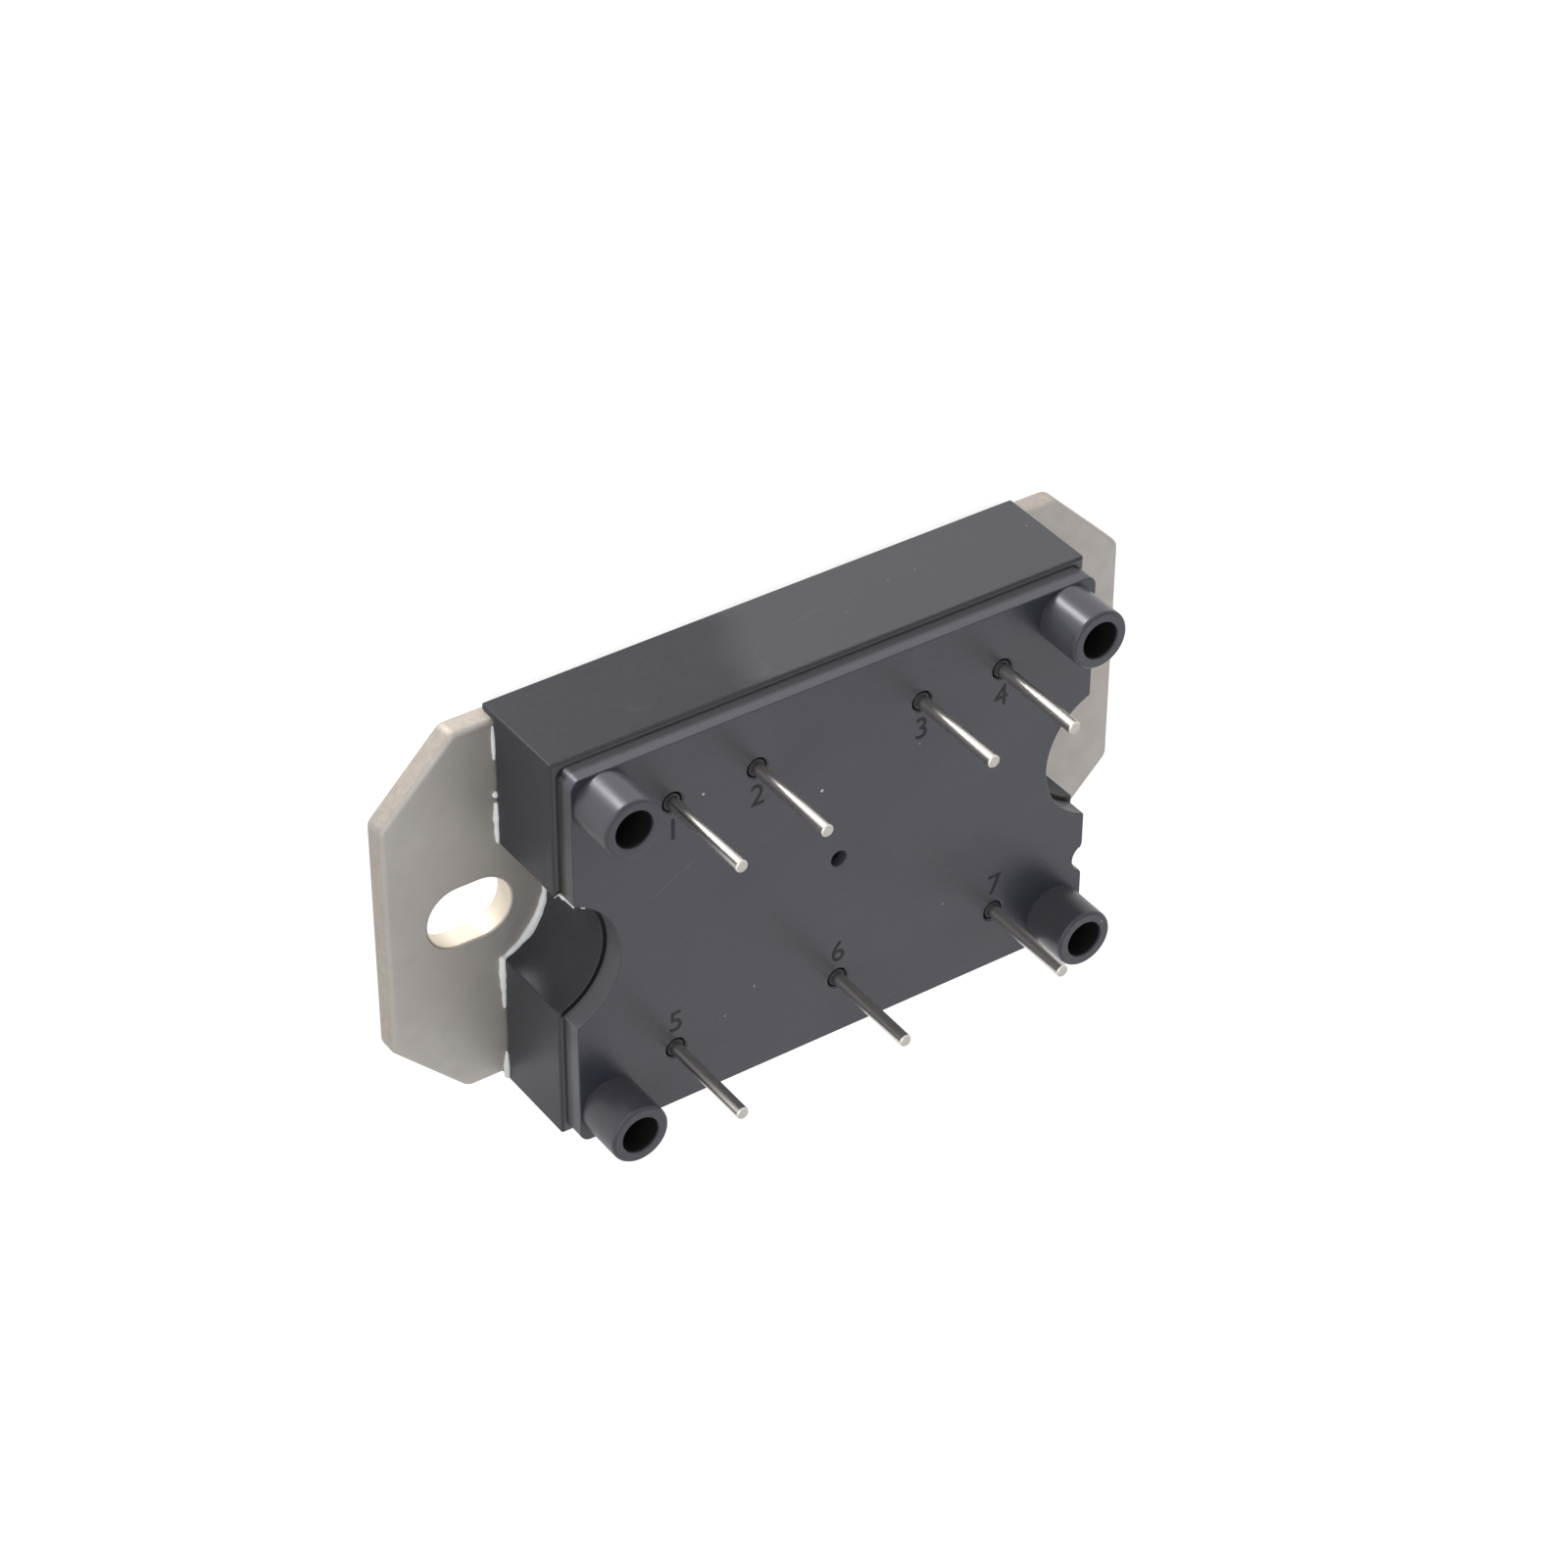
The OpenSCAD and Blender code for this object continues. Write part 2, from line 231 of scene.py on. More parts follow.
def _shaded(colour: Colour, *shares: float) -> Colour:
    """Returns a colour times one share, or times one share for each of its numbers."""
    return tuple(min(1.0, c * s) for c, s in zip(colour, shares if len(shares) == 3 else shares * 3))


@dataclass(frozen=True)
class SharedEffect:
    """A node group that several finishes use.

    Args:
        name: the group's name.
        inputs: its float inputs and what they start at.
        build: fills the group from its graph and input sockets, and returns what it gives out.
    """

    name: str
    inputs: dict[str, float]
    build: Callable[[Graph, dict[str, Socket]], Socket]

    def group(self) -> bpy.types.NodeTree:
        """Builds the group the first time it is asked for.

        Returns:
            The group.
        """
        found = bpy.data.node_groups.get(self.name)
        if found:
            return found
        tree = bpy.data.node_groups.new(self.name, "ShaderNodeTree")
        graph = Graph(tree)
        for title, start in self.inputs.items():
            socket = tree.interface.new_socket(title, in_out="INPUT", socket_type="NodeSocketFloat")
            socket.default_value = start
        tree.interface.new_socket("Result", in_out="OUTPUT", socket_type="NodeSocketFloat")
        entry = graph.add("NodeGroupInput")
        result = self.build(graph, {title: entry.outputs[title] for title in self.inputs})
        graph.add("NodeGroupOutput", {"Result": result})
        return tree

    def use(self, graph: Graph, **values: float) -> Socket:
        """Places the group in a graph.

        Args:
            graph: the material's graph.
            values: its inputs by name.

        Returns:
            The group's result.
        """
        placed = graph.add("Group", node_tree=self.group())
        for title, value in values.items():
            placed.inputs[title].default_value = value
        return placed.outputs[0]


def _build_grain(graph: Graph, ports: dict[str, Socket]) -> Socket:
    """Returns a fine eroded grain with a slow swell under it."""
    return graph.math("ADD", graph.noise(ports["Fineness"], 4.0), graph.times(graph.noise(260.0, 2.0), 0.5))


def _build_scuffs(graph: Graph, ports: dict[str, Socket]) -> Socket:
    """Makes hair-thin scratches in two directions, broken up in patches.

    Args:
        graph: the group's graph.
        ports: its input sockets.

    Returns:
        The mask.
    """
    strokes = []
    for turn, stretch in ((0.5, 40.0), (-0.9, 55.0)):
        cell = graph.noise(ports["Spread"], 2.0, graph.moved((1.0, stretch, 1.0), turn))
        line = graph.math("ABSOLUTE", graph.math("SUBTRACT", cell, 0.5))
        strokes.append(graph.fade(line, 0.0, 0.006))
    return graph.times(graph.math("MAXIMUM", *strokes), graph.ramp(graph.noise(90.0), 0.52, 0.66))


def _build_specks(graph: Graph, ports: dict[str, Socket]) -> Socket:
    """Makes small specks of dust, few and uneven.

    Args:
        graph: the group's graph.
        ports: its input sockets.

    Returns:
        The mask.
    """
    cells = graph.add("TexVoronoi", {"Vector": graph.place(), "Scale": ports["Count"]}, feature="F1")
    near = graph.math("LESS_THAN", cells.outputs["Distance"], ports["Size"])
    pick = graph.add("SeparateColor", {0: cells.outputs["Color"]}).outputs[0]
    return graph.times(near, graph.math("GREATER_THAN", pick, 0.8))


def _build_rubbed(graph: Graph, ports: dict[str, Socket]) -> Socket:
    """Finds edges that handling has polished, with broken borders.

    Args:
        graph: the group's graph.
        ports: its input sockets.

    Returns:
        The mask.
    """
    bent = graph.add("Bevel", {"Radius": ports["Width"]}, samples=6).outputs[0]
    turn = graph.dot(bent, graph.add("NewGeometry").outputs["Normal"])
    return graph.times(graph.fade(turn, 0.8, 0.99), graph.ramp(graph.noise(1800.0, 4.0), 0.35, 0.6))


def _build_stain(graph: Graph, ports: dict[str, Socket]) -> Socket:
    """Returns large soft blotches, as handling and cleaning leave them."""
    return graph.ramp(graph.noise(ports["Spread"], 5.0, Distortion=0.6), 0.36, 0.66)


GRAIN = SharedEffect("fine grain", {"Fineness": 9000.0}, _build_grain)
SCUFFS = SharedEffect("hair scuffs", {"Spread": 60.0}, _build_scuffs)
SPECKS = SharedEffect("dust specks", {"Count": 500.0, "Size": 0.05}, _build_specks)
RUBBED = SharedEffect("rubbed edges", {"Width": 0.0002}, _build_rubbed)
STAIN = SharedEffect("soft stain", {"Spread": 120.0}, _build_stain)


# ---- Finishes ----


def new_material(name: str) -> tuple[bpy.types.Material, Graph]:
    """Makes an empty material.

    Args:
        name: its name.

    Returns:
        The material and its graph.
    """
    made = bpy.data.materials.new(name)
    made.use_nodes = True
    return made, Graph(made.node_tree)


@dataclass(frozen=True)
class Finish:
    """A plain surface that the other finishes build on.

    Args:
        name: the material's name.
        slot: the record's material slot; not used.
        base: the main colour, linear.
        rough: the main roughness.
        grain: height of the fine grain, in metres.
        fineness: how fine the grain is, in swings a metre.
    """

    name: str
    slot: str
    base: Colour
    rough: float
    grain: float = 4e-6
    fineness: float = 9000.0

    def colour(self, graph: Graph) -> Socket:
        """Returns the colour, uneven by a little."""
        return graph.blend(STAIN.use(graph, Spread=160.0), _shaded(self.base, 0.9), _shaded(self.base, 1.1))

    def roughness(self, graph: Graph) -> Socket:
        """Returns the roughness, uneven by a little."""
        return graph.ramp(graph.noise(420.0), 0.3, 0.7, self.rough - 0.05, self.rough + 0.05)

    def height(self, graph: Graph) -> Socket:
        """Returns the height of the surface's relief."""
        return GRAIN.use(graph, Fineness=self.fineness)

    def constants(self) -> dict[str, Any]:
        """Returns the shader's inputs that are the same all over the surface."""
        return {}

    def material(self) -> bpy.types.Material:
        """Makes the material the first time it is asked for.

        Returns:
            The material.
        """
        found = bpy.data.materials.get(self.name)
        if found:
            return found
        made, graph = new_material(self.name)
        relief = graph.add("Bump", {"Height": self.height(graph), "Distance": self.grain, "Strength": 1.0})
        sockets = {
            "Base Color": self.colour(graph),
            "Roughness": self.roughness(graph),
            "Normal": relief.outputs[0],
        }
        shader = graph.add("BsdfPrincipled", sockets | self.constants())
        graph.add("OutputMaterial", {"Surface": shader.outputs[0]})
        made.diffuse_color = _rgba(self.base)
        return made

    def dress(self, piece: bpy.types.Object) -> bpy.types.Object:
        """Puts the material on a piece.

        Args:
            piece: the piece.

        Returns:
            The same piece.
        """
        piece.data.materials.clear()
        piece.data.materials.append(self.material())
        return piece


@dataclass(frozen=True)
class Moulding(Finish):
    """Satin moulded plastic with rubbed edges, hair scuffs and dust.

    Args:
        rub: colour that the edges rub to.
        rub_width: how wide the rubbed edges are, in metres.
        dust: how far the dust shows.
        dust_tone: colour of the dust.
        gloss: specular level of the plastic.
        tint: tint of its reflections.
    """

    rub: Colour = (0.12, 0.12, 0.125)
    rub_width: float = 0.00016
    dust: float = 0.5
    dust_tone: Colour = (0.3, 0.3, 0.3)
    gloss: float = 0.5
    tint: Colour = (0.95, 0.96, 1.0)

    def colour(self, graph: Graph) -> Socket:
        """Mixes the plastic's colour with its rubbed edges, scuffs and dust.

        Args:
            graph: the material's graph.

        Returns:
            The colour.
        """
        speckle = graph.ramp(graph.noise(2600.0, 5.0, Roughness=0.6), 0.3, 0.7)
        tone = graph.blend(speckle, _shaded(self.base, 0.93), _shaded(self.base, 1.07))
        tone = graph.blend(graph.times(RUBBED.use(graph, Width=self.rub_width), 0.6), tone, self.rub)
        tone = graph.blend(graph.times(SCUFFS.use(graph, Spread=55.0), 0.25), tone, self.rub)
        specks = graph.times(SPECKS.use(graph, Count=420.0, Size=0.045), self.dust)
        return graph.blend(specks, tone, self.dust_tone)

    def roughness(self, graph: Graph) -> Socket:
        """Returns the roughness, smoother where it has been handled."""
        return graph.ramp(STAIN.use(graph, Spread=70.0), 0.0, 1.0, self.rough - 0.03, self.rough + 0.05)

    def constants(self) -> dict[str, Any]:
        """Returns the plastic's index and gloss."""
        return {"IOR": 1.52, "Specular IOR Level": self.gloss, "Specular Tint": _rgba(self.tint)}


@dataclass(frozen=True)
class FramePlastic(Moulding):
    """The frame's plastic: one long side has a paler patch towards the +X end.

    Args:
        patch: where the patch starts and where it is full, along the module, in millimetres.
        wander: how far its border wanders each way, in millimetres.
        patch_tone: colour of the patch.
        ledge_light_tone: colour of the ledge round the lid, lighter than the plastic as painted light.
        gap_shade_tone: colour of the ledge in a notch, where it lies deep: painted shade.
    """

    patch: tuple[float, float] = (-6.5, -1.5)
    wander: float = 1.5
    patch_tone: Colour = (0.11, 0.11, 0.115)
    # painted light on the ledge, and painted shade on it in the notches
    ledge_light_tone: Colour = (0.1, 0.1, 0.105)
    gap_shade_tone: Colour = (0.012, 0.012, 0.012)

    def patched(self, graph: Graph) -> Socket:
        """Finds where the long side is paler.

        Args:
            graph: the material's graph.

        Returns:
            The mask of the patch.
        """
        wander = graph.ramp(graph.noise(120.0, 1.0), 0.25, 0.75, -self.wander * MM, self.wander * MM)
        along = graph.math("ADD", graph.axes()[0], wander)
        start = graph.ramp(along, self.patch[0] * MM, self.patch[1] * MM)
        return graph.times(start, graph.ramp(graph.facing(Face.LONG_SIDE), 0.8, 0.95))

    def colour(self, graph: Graph) -> Socket:
        """Mixes the plastic's colour with the patch, with painted light on the ledge and painted shade where it
        lies deep in a notch.

        Args:
            graph: the material's graph.

        Returns:
            The colour.
        """
        tone = Moulding.colour(self, graph)
        # the paler, uneven patch on the long side towards the +X end
        with_patch = graph.blend(graph.times(self.patched(graph), 0.5), tone, self.patch_tone)
        # painted light on the frame's up-facing ledge, and painted shade on it deep in a notch
        ledge = graph.blend(graph.clear_of_notch(0.1), self.gap_shade_tone, self.ledge_light_tone)
        return graph.blend(graph.ramp(graph.facing(Face.UP), 0.8, 0.98), with_patch, ledge)


@dataclass(frozen=True)
class LidPlastic(Moulding):
    """The lid's plastic: slightly blue, with painted light on its walls, painted shade at their foot and in the
    bores, and one long faint scratch.

    Args:
        scratch_ends: where the scratch starts and ends on the face, in millimetres.
        scratch_tone: colour of the scratch.
        crumbs_at: where larger crumbs of dust lie, in millimetres.
        crumb_tone: colour of the crumbs.
        wall_light_tone: colour of the lid's and the posts' walls, lighter than the face as painted light.
        notch_light_tone: colour of the walls in a notch, lighter still as painted light.
        gap_shade_tone: colour of the foot of the wall, next to the frame: painted shade.
        gap: how high that painted shade at the foot reaches and how far it fades, in millimetres.
        bore_shade_tone: colour inside the posts: painted shade.
    """

    scratch_ends: tuple[Point, Point] = ((-15.84, 3.35, LID_TOP), (-12.33, 5.26, LID_TOP))
    scratch_tone: Colour = (0.2, 0.2, 0.21)
    crumbs_at: tuple[Point, Point] = ((-11.47, 10.69, LID_TOP), (-1.54, 6.73, LID_TOP))
    crumb_tone: Colour = (0.5, 0.5, 0.5)
    # painted light on the walls; painted shade at their foot and in the bores
    wall_light_tone: Colour = (0.064, 0.064, 0.077)
    notch_light_tone: Colour = (0.1, 0.1, 0.113)
    gap_shade_tone: Colour = (0.005, 0.005, 0.006)
    gap: tuple[float, float] = (10.15, 0.6)
    bore_shade_tone: Colour = (0.013, 0.013, 0.014)

    def colour(self, graph: Graph) -> Socket:
        """Mixes the plastic's colour with the scratch, painted light on the walls, painted shade at their foot
        and in the bores, and the crumbs.

        Args:
            graph: the material's graph.

        Returns:
            The colour.
        """
        tone = Moulding.colour(self, graph)
        tone = graph.blend(graph.times(self.scratch(graph), 0.14), tone, self.scratch_tone)
        # painted light: the walls are lighter than the face, lighter still in the notches
        walls = graph.blend(graph.clear_of_notch(0.55), self.notch_light_tone, self.wall_light_tone)
        tone = graph.blend(self.walls(graph), tone, walls)
        # painted shade along the foot of the wall, next to the frame
        tone = graph.blend(self.joint_shade(graph), tone, self.gap_shade_tone)
        # painted shade inside the posts' bores
        tone = graph.blend(self.bores(graph), tone, self.bore_shade_tone)
        return graph.blend(self.crumbs(graph), tone, self.crumb_tone)

    def scratch(self, graph: Graph) -> Socket:
        """Measures how near the point is to the scratch's line.

        Args:
            graph: the material's graph.

        Returns:
            The mask of the scratch.
        """
        start, stop = (Vector(end) * MM for end in self.scratch_ends)
        run = stop - start
        offset = graph.add("VectorMath", {0: graph.place(), 1: start}, operation="SUBTRACT").outputs[0]
        share = graph.math("ADD", graph.dot(offset, run / run.length_squared), 0.0, clamp=True)
        foot = graph.add("VectorMath", {0: run, "Scale": share}, operation="SCALE").outputs[0]
        broken = graph.ramp(graph.noise(1500.0), 0.3, 0.6, 0.3, 1.0)
        return graph.times(graph.fade(graph.distance(offset, foot), 0.00002, 0.00009), broken)

    def walls(self, graph: Graph) -> Socket:
        """Returns where the surface is a wall and not the face."""
        return graph.fade(graph.math("ABSOLUTE", graph.facing(Face.UP)), 0.3, 0.8)

    def joint_shade(self, graph: Graph) -> Socket:
        """Returns where the foot of the wall gets painted shade, next to the frame."""
        foot = graph.fade(graph.axes()[2], self.gap[0] * MM, sum(self.gap) * MM)
        return graph.times(graph.times(foot, graph.clear_of_notch(0.1)), self.walls(graph))

    def bores(self, graph: Graph) -> Socket:
        """Returns the inside of the posts' bores, which little light reaches and which get painted shade."""
        inside = graph.fade(graph.from_axis(POST_X, POST_Y), (BORE_R + 0.02) * MM, (BORE_R + 0.06) * MM)
        return graph.times(inside, graph.fade(graph.axes()[2], (POST_TOP - 0.3) * MM, (POST_TOP - 0.1) * MM))

    def crumbs(self, graph: Graph) -> Socket:
        """Returns the few larger crumbs of dust."""
        near = (graph.fade(graph.distance(graph.place(), Vector(at) * MM), 8e-5, 18e-5) for at in self.crumbs_at)
        return graph.times(graph.math("MAXIMUM", *near), graph.ramp(graph.noise(6000.0), 0.35, 0.55))


@dataclass(frozen=True)
class PlatedMetal(Finish):
    """Satin nickel plating, warmer and brighter on its sheared edge faces, with painted highlight on the slots'
    walls.

    Args:
        edge: colour of the sheared edges.
        slot_highlight: colour of the punched slots' walls, much brighter than the other edges as painted
            highlight.
        edge_rough: roughness of the sheared edges.
        slot_box: half the length and width of the box that holds both slots, in millimetres.
    """

    edge: Colour = (0.46, 0.415, 0.37)
    # painted highlight on the slots' walls
    slot_highlight: Colour = (0.78, 0.71, 0.61)
    edge_rough: float = 0.65
    slot_box: tuple[float, float] = (28.7, 4.5)

    def sides(self, graph: Graph) -> Socket:
        """Returns where the surface is a sheared edge and not a flat face."""
        return graph.fade(graph.math("ABSOLUTE", graph.facing(Face.UP)), 0.2, 0.85)

    def slots(self, graph: Graph) -> Socket:
        """Finds the neighbourhood of the screw slots.

        Args:
            graph: the material's graph.

        Returns:
            The mask of both slots.
        """
        box = zip(graph.axes(), self.slot_box)
        near = [graph.fade(graph.math("ABSOLUTE", axis), half * MM, (half + 0.5) * MM) for axis, half in box]
        return graph.times(*near)

    def colour(self, graph: Graph) -> Socket:
        """Mixes the plating's colour with rolling streaks, stains, scuffs and sheared edges, and painted
        highlight on the slots' walls.

        Args:
            graph: the material's graph.

        Returns:
            The colour.
        """
        rolled = graph.ramp(graph.noise(120.0, 5.0, graph.moved((1.0, 14.0, 1.0))), 0.3, 0.7)
        face = graph.blend(rolled, _shaded(self.base, 0.99), _shaded(self.base, 1.01))
        stained = _shaded(self.base, 0.93, 0.9, 0.84)
        face = graph.blend(graph.times(STAIN.use(graph, Spread=90.0), 0.35), face, stained)
        face = graph.blend(graph.times(SCUFFS.use(graph, Spread=50.0), 0.3), face, self.edge)
        torn = graph.ramp(graph.noise(2200.0, 5.0, Roughness=0.65), 0.3, 0.7)
        edges = graph.blend(torn, _shaded(self.edge, 0.9), _shaded(self.edge, 1.05))
        # painted highlight on the walls of the screw slots
        edges = graph.blend(self.slots(graph), edges, self.slot_highlight)
        return graph.blend(self.sides(graph), face, edges)

    def roughness(self, graph: Graph) -> Socket:
        """Returns the roughness of the faces and of the sheared edges."""
        tone = graph.ramp(graph.noise(700.0, 4.0), 0.3, 0.7, self.rough - 0.04, self.rough + 0.05)
        return graph.math("MULTIPLY_ADD", self.sides(graph), self.edge_rough - self.rough, tone)

    def constants(self) -> dict[str, Any]:
        """Makes the plating a metal, a little dulled."""
        return {"Metallic": 0.65}


@dataclass(frozen=True)
class DrawnMetal(Finish):
    """Tinned wire: fine lines along its length, a duller sheared tip and painted shade on its foot.

    Args:
        foot_shade: colour of the foot in its hole: painted shade.
        foot_shade_top: how high that painted shade reaches, in millimetres.
    """

    # painted shade on the foot in its hole
    foot_shade: Colour = (0.06, 0.06, 0.064)
    foot_shade_top: float = 11.38

    def lines(self, graph: Graph) -> Socket:
        """Returns the drawing lines, which run along the pin."""
        return graph.noise(9000.0, at=graph.moved((1.0, 1.0, 0.02)))

    def colour(self, graph: Graph) -> Socket:
        """Mixes the tin's colour, darker in its lines and at its tip, with painted shade at its foot.

        Args:
            graph: the material's graph.

        Returns:
            The colour.
        """
        wire = graph.blend(graph.ramp(self.lines(graph), 0.35, 0.65), _shaded(self.base, 0.95), self.base)
        stained = _shaded(self.base, 0.9, 0.87, 0.82)
        wire = graph.blend(graph.times(STAIN.use(graph, Spread=300.0), 0.25), wire, stained)
        wire = graph.blend(self.tip(graph), wire, _shaded(self.base, 0.66))
        # painted shade on the foot down in the hole
        return graph.blend(self.foot(graph), wire, self.foot_shade)

    def foot(self, graph: Graph) -> Socket:
        """Returns the wire's foot down in its hole, which gets painted shade and a higher roughness."""
        return graph.fade(graph.axes()[2], self.foot_shade_top * MM, (self.foot_shade_top + 0.04) * MM)

    def tip(self, graph: Graph) -> Socket:
        """Returns where the surface is the sheared end face."""
        return graph.ramp(graph.facing(Face.UP), 0.6, 0.95)

    def roughness(self, graph: Graph) -> Socket:
        """Returns the roughness, duller on the tip's end face and at the foot."""
        ends = graph.math("MAXIMUM", self.tip(graph), self.foot(graph))
        return graph.ramp(ends, 0.0, 1.0, self.rough, self.rough + 0.25)

    def height(self, graph: Graph) -> Socket:
        """Returns the relief of the drawing lines."""
        return self.lines(graph)

    def constants(self) -> dict[str, Any]:
        """Makes the wire a metal."""
        return {"Metallic": 1.0}


@dataclass(frozen=True)
class BareMetal(Finish):
    """Copper or solder inside the module, tarnished in patches.

    Args:
        tarnish: colour of the tarnished patches.
    """

    tarnish: Colour = (0.3, 0.16, 0.1)

    def colour(self, graph: Graph) -> Socket:
        """Returns the metal's colour with its tarnish."""
        return graph.blend(graph.times(STAIN.use(graph, Spread=220.0), 0.5), self.base, self.tarnish)

    def constants(self) -> dict[str, Any]:
        """Makes the surface a metal."""
        return {"Metallic": 1.0}


@dataclass(frozen=True)
class Silicone(Finish):
    """Cured white adhesive, a little waxy."""

    def constants(self) -> dict[str, Any]:
        """Lets a little light into the adhesive."""
        return {"Subsurface Weight": 0.25, "Subsurface Radius": (0.0004, 0.0004, 0.0004), "IOR": 1.41}


@dataclass(frozen=True)
class SoftFill(Finish):
    """Clear soft fill with a faint tint."""

    def constants(self) -> dict[str, Any]:
        """Makes the fill see-through."""
        return {"Transmission Weight": 0.9, "IOR": 1.41}


LID = LidPlastic("lid plastic", "lid_plastic", (0.028, 0.028, 0.04), 0.34, 2e-6, 11000.0)
FRAME = FramePlastic("frame plastic", "frame_plastic", (0.034, 0.0338, 0.04), 0.42, 2e-6, 11000.0, gloss=0.3)
MARK = Moulding("number plastic", "lid_plastic", (0.012, 0.012, 0.014), 0.6, rub=(0.014, 0.014, 0.016), gloss=0.3)
PLATE = PlatedMetal("nickel plating", "nickel_plate", (0.44, 0.416, 0.396), 0.56, 1e-6, 7000.0)
PIN = DrawnMetal("tinned wire", "tinned_pin", (0.74, 0.71, 0.66), 0.3, 2e-8)
SEAL = Silicone("white silicone", "seal_silicone", (0.78, 0.79, 0.8), 0.42, 1e-5, 2500.0)
COPPER = BareMetal("bare copper", "copper", (0.78, 0.4, 0.26), 0.34)
SOLDER = BareMetal("solder", "solder", (0.6, 0.6, 0.61), 0.4, 1e-5, 2500.0, (0.35, 0.35, 0.36))
CERAMIC = Finish("white ceramic", "alumina", (0.8, 0.78, 0.74), 0.55, 6e-6)
SILICON = Finish("diode silicon", "silicon", (0.12, 0.13, 0.16), 0.25, 1e-6)
FILL = SoftFill("soft fill", "gel", (0.86, 0.9, 0.94), 0.12, 1e-5, 600.0)


# ---- Objects and meshes ----


def add_object(name: str, data: Any) -> bpy.types.Object:
    """Puts an object with its data in the scene.

    Args:
        name: its name.
        data: its mesh, lamp or camera.

    Returns:
        The object, at the origin.
    """
    made = bpy.data.objects.new(name, data)
    bpy.context.scene.collection.objects.link(made)
    return made


def sharp_edges(mesh: bmesh.types.BMesh, angle: float) -> list[bmesh.types.BMEdge]:
    """Returns the outer edges where the surface turns by more than angle, in degrees."""
    limit = math.radians(angle)
    return [e for e in mesh.edges if len(e.link_faces) == 2 and e.calc_face_angle_signed(0.0) > limit]


def ends(edge: bmesh.types.BMEdge) -> tuple[Vector, Vector]:
    """Returns an edge's two ends, in millimetres."""
    return edge.verts[0].co / MM, edge.verts[1].co / MM


def from_post(point: Vector) -> float:
    """Returns how far a point is from the nearest post's axis, in millimetres."""
    return math.hypot(abs(point.x) - POST_X, abs(point.y) - POST_Y)


def node_copy(node: str) -> bmesh.types.BMesh:
    """Copies a CAD node's mesh, merged and freed of its flat triangles.

    Args:
        node: the CAD node's name.

    Returns:
        A mesh to finish, in the object's own frame.
    """
    mesh = bmesh.new()
    mesh.from_mesh(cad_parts[node].data)
    bmesh.ops.remove_doubles(mesh, verts=mesh.verts, dist=MERGE)
    bmesh.ops.dissolve_degenerate(mesh, edges=mesh.edges, dist=TINY)
    bmesh.ops.dissolve_limit(mesh, angle_limit=FLAT, verts=mesh.verts, edges=mesh.edges)
    return mesh


def soften(mesh: bmesh.types.BMesh, edges: list[bmesh.types.BMEdge], edge: Edge, steps: int = 3) -> None:
    """Rounds some edges.

    Args:
        mesh: the mesh that is changed.
        edges: the edges to round.
        edge: how far they are rounded.
        steps: faces across the rounding.
    """
    bmesh.ops.bevel(
        mesh,
        geom=edges,
        offset=edge.value * MM,
        offset_type="OFFSET",
        affect="EDGES",
        segments=steps,
        profile=0.5,
        material=-1,
        clamp_overlap=False,
    )


def as_piece(mesh: bmesh.types.BMesh, name: str, finish: Finish, flat_weight: bool = True) -> bpy.types.Object:
    """Turns a finished mesh into a piece that rides on the module.

    Args:
        mesh: the mesh, which is freed.
        name: the piece's name.
        finish: what it is dressed in.
        flat_weight: whether large faces keep the shading of their own flat.

    Returns:
        The new object, at the origin.
    """
    for face in mesh.faces:
        face.smooth = True
    for edge in mesh.edges:
        edge.smooth = edge.calc_face_angle(0.0) < SMOOTH
    data = bpy.data.meshes.new(name)
    mesh.to_mesh(data)
    mesh.free()
    piece = add_object(name, data)
    if flat_weight:
        weighted = piece.modifiers.new("flat faces", "WEIGHTED_NORMAL")
        weighted.weight = 80
        weighted.keep_sharp = True
    finish.dress(piece)
    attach(piece, ROOT)
    LOG.info("%s: %d faces", name, len(data.polygons))
    return piece


# ---- The module ----


@dataclass
class BasePlate:
    """The nickel-plated plate: sheared outline, punched screw slots.

    Args:
        turn: how far an edge turns at least to be rounded, in degrees.
        slot_x: distance of a slot's middle from the plate's, in millimetres.
        slot_reach: how far from its middle a slot's edges lie at most.
    """

    turn: float = 60
    slot_x: float = 25.0
    slot_reach: float = 3.6

    def build(self) -> bpy.types.Object:
        """Rounds the plate's outline and its slots.

        Returns:
            The plate.
        """
        mesh = node_copy("base_plate")
        soften(mesh, [e for e in sharp_edges(mesh, self.turn) if not self._on_slot(e)], Edge.SHEARED, 4)
        soften(mesh, [e for e in sharp_edges(mesh, self.turn) if self._on_slot(e)], Edge.PUNCHED)
        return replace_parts(as_piece(mesh, "plate", PLATE), "base_plate")

    def _on_slot(self, edge: bmesh.types.BMEdge) -> bool:
        """Tells whether an edge belongs to a screw slot."""
        middle = (edge.verts[0].co + edge.verts[1].co) / 2 / MM
        return math.hypot(abs(middle.x) - self.slot_x, middle.y) < self.slot_reach


